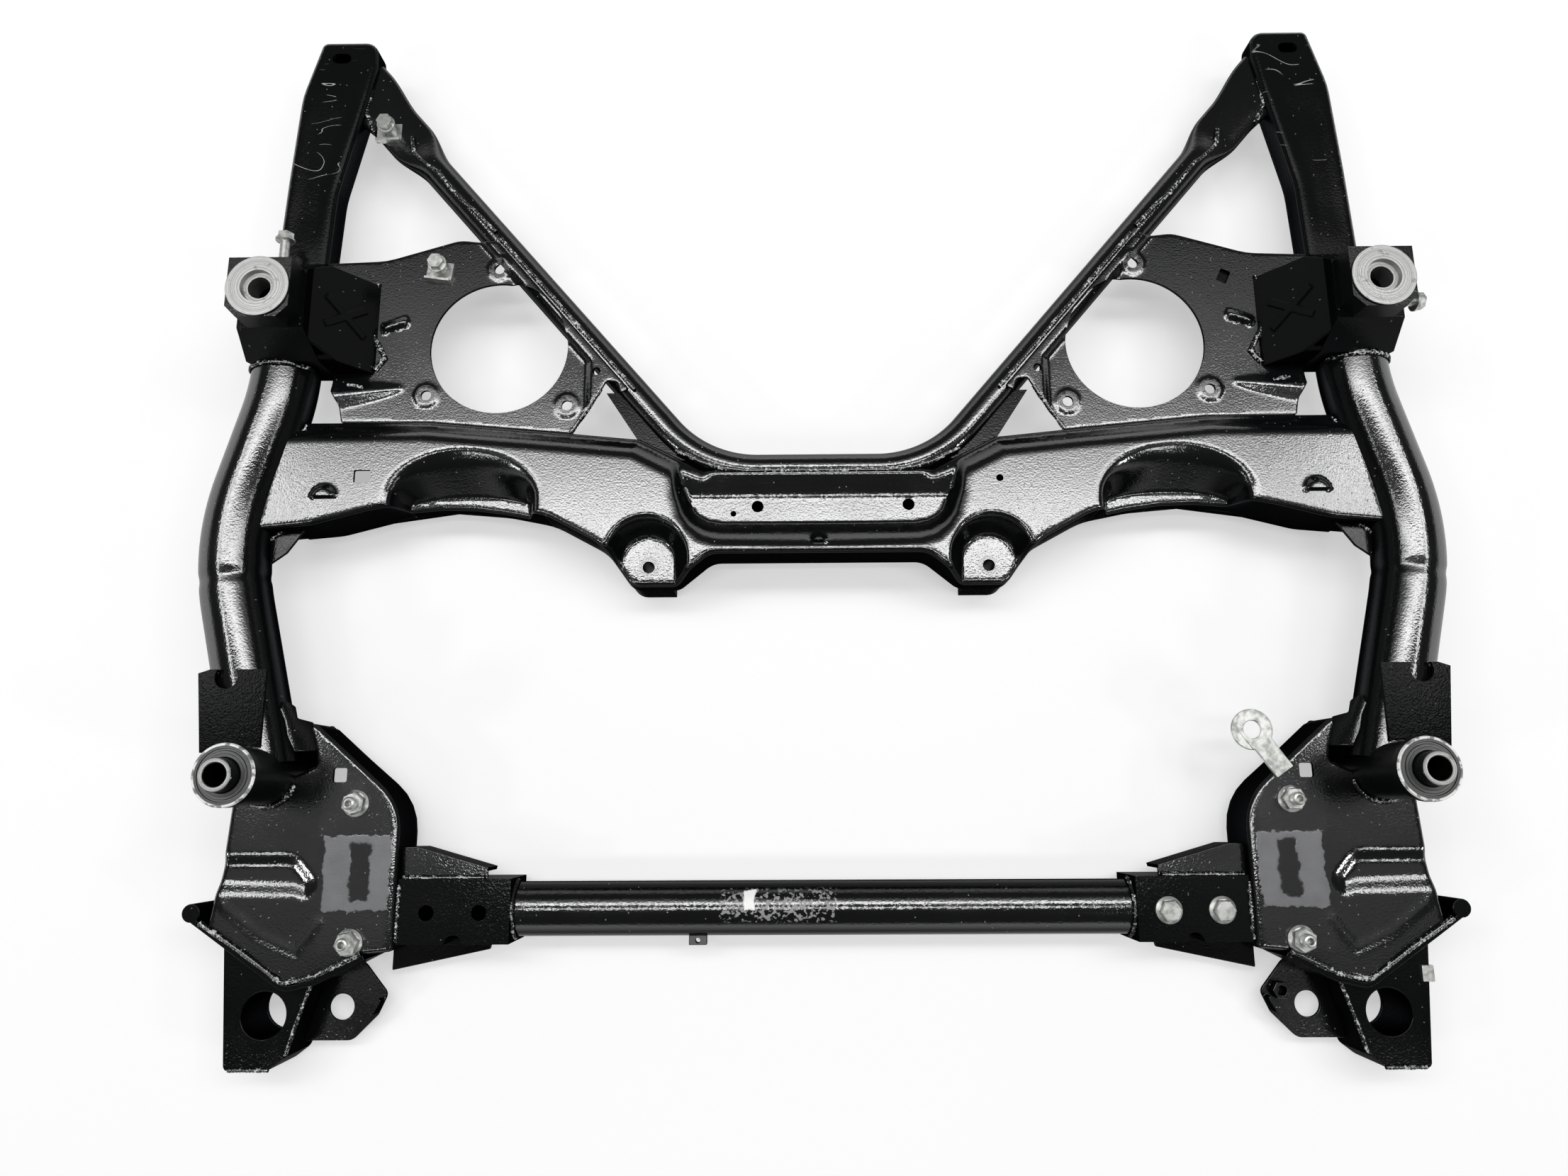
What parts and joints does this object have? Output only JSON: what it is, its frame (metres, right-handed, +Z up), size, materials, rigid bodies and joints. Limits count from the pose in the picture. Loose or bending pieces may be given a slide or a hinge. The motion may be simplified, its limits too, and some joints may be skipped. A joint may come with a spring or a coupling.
{
  "type": "front axle subframe",
  "caption": "Welded front axle subframe of a car: bent side tubes, a pressed crossmember, a V-shaped brace, plates for the engine mounts and a front cross tube, with seats for the body bolts.",
  "frame": {"origin": "under the middle of the frame, on the plane that it rests on", "axes": "+X across the car to the right-hand side of the picture, +Y to the rear, +Z up"},
  "size_m": [1.0106, 0.88, 0.142],
  "materials": {
    "black_coat": "glossy black dip coat",
    "machined_steel": "bare turned steel",
    "zinc_plate": "zinc plated",
    "black_plastic": "moulded"
  },
  "bodies": {
    "root": {"side_tube_left": "black_coat", "side_tube_right": "black_coat", "rear_arm_left": "black_coat", "rear_arm_right": "black_coat", "arm_cover_left": "black_coat", "arm_cover_right": "black_coat", "brace_tube": "black_coat", "engine_plate_left": "black_coat", "engine_plate_right": "black_coat", "tower_console_left": "black_coat", "tower_console_right": "black_coat", "tower_wing_left": "black_coat", "tower_wing_right": "black_coat", "mount_block_left": "machined_steel", "mount_block_right": "machined_steel", "crossmember_upper": "black_coat", "crossmember_lower": "black_coat", "rack_sleeves": "machined_steel", "end_gusset_left": "black_coat", "end_gusset_right": "black_coat", "brace_strut_left": "black_coat", "brace_strut_right": "black_coat", "corner_upper_left": "black_coat", "corner_upper_right": "black_coat", "corner_lower_left": "black_coat", "corner_lower_right": "black_coat", "front_bush_left": "machined_steel", "front_bush_right": "machined_steel", "centring_sleeves": "machined_steel", "tube_end_cap_left": "black_coat", "tube_end_cap_right": "black_coat", "front_box_left": "black_coat", "front_box_right": "black_coat", "box_sleeve_left": "black_coat", "box_sleeve_right": "black_coat", "ear_bracket_left": "black_coat", "ear_bracket_right": "black_coat", "front_tube": "black_coat", "tube_socket_left": "black_coat", "tube_socket_right": "black_coat", "upper_gusset_left": "black_coat", "upper_gusset_right": "black_coat", "lower_gusset_left": "black_coat", "lower_gusset_right": "black_coat", "corner_studs": "zinc_plate", "stud_nuts": "zinc_plate", "clip_nuts": "zinc_plate", "clip_bolts": "zinc_plate", "tower_bolts": "zinc_plate", "socket_bolts": "zinc_plate", "ear_weld_nut": "black_coat", "ground_tab": "zinc_plate", "cable_clip": "black_plastic", "spring_clip": "zinc_plate"}
  },
  "joints": []
}
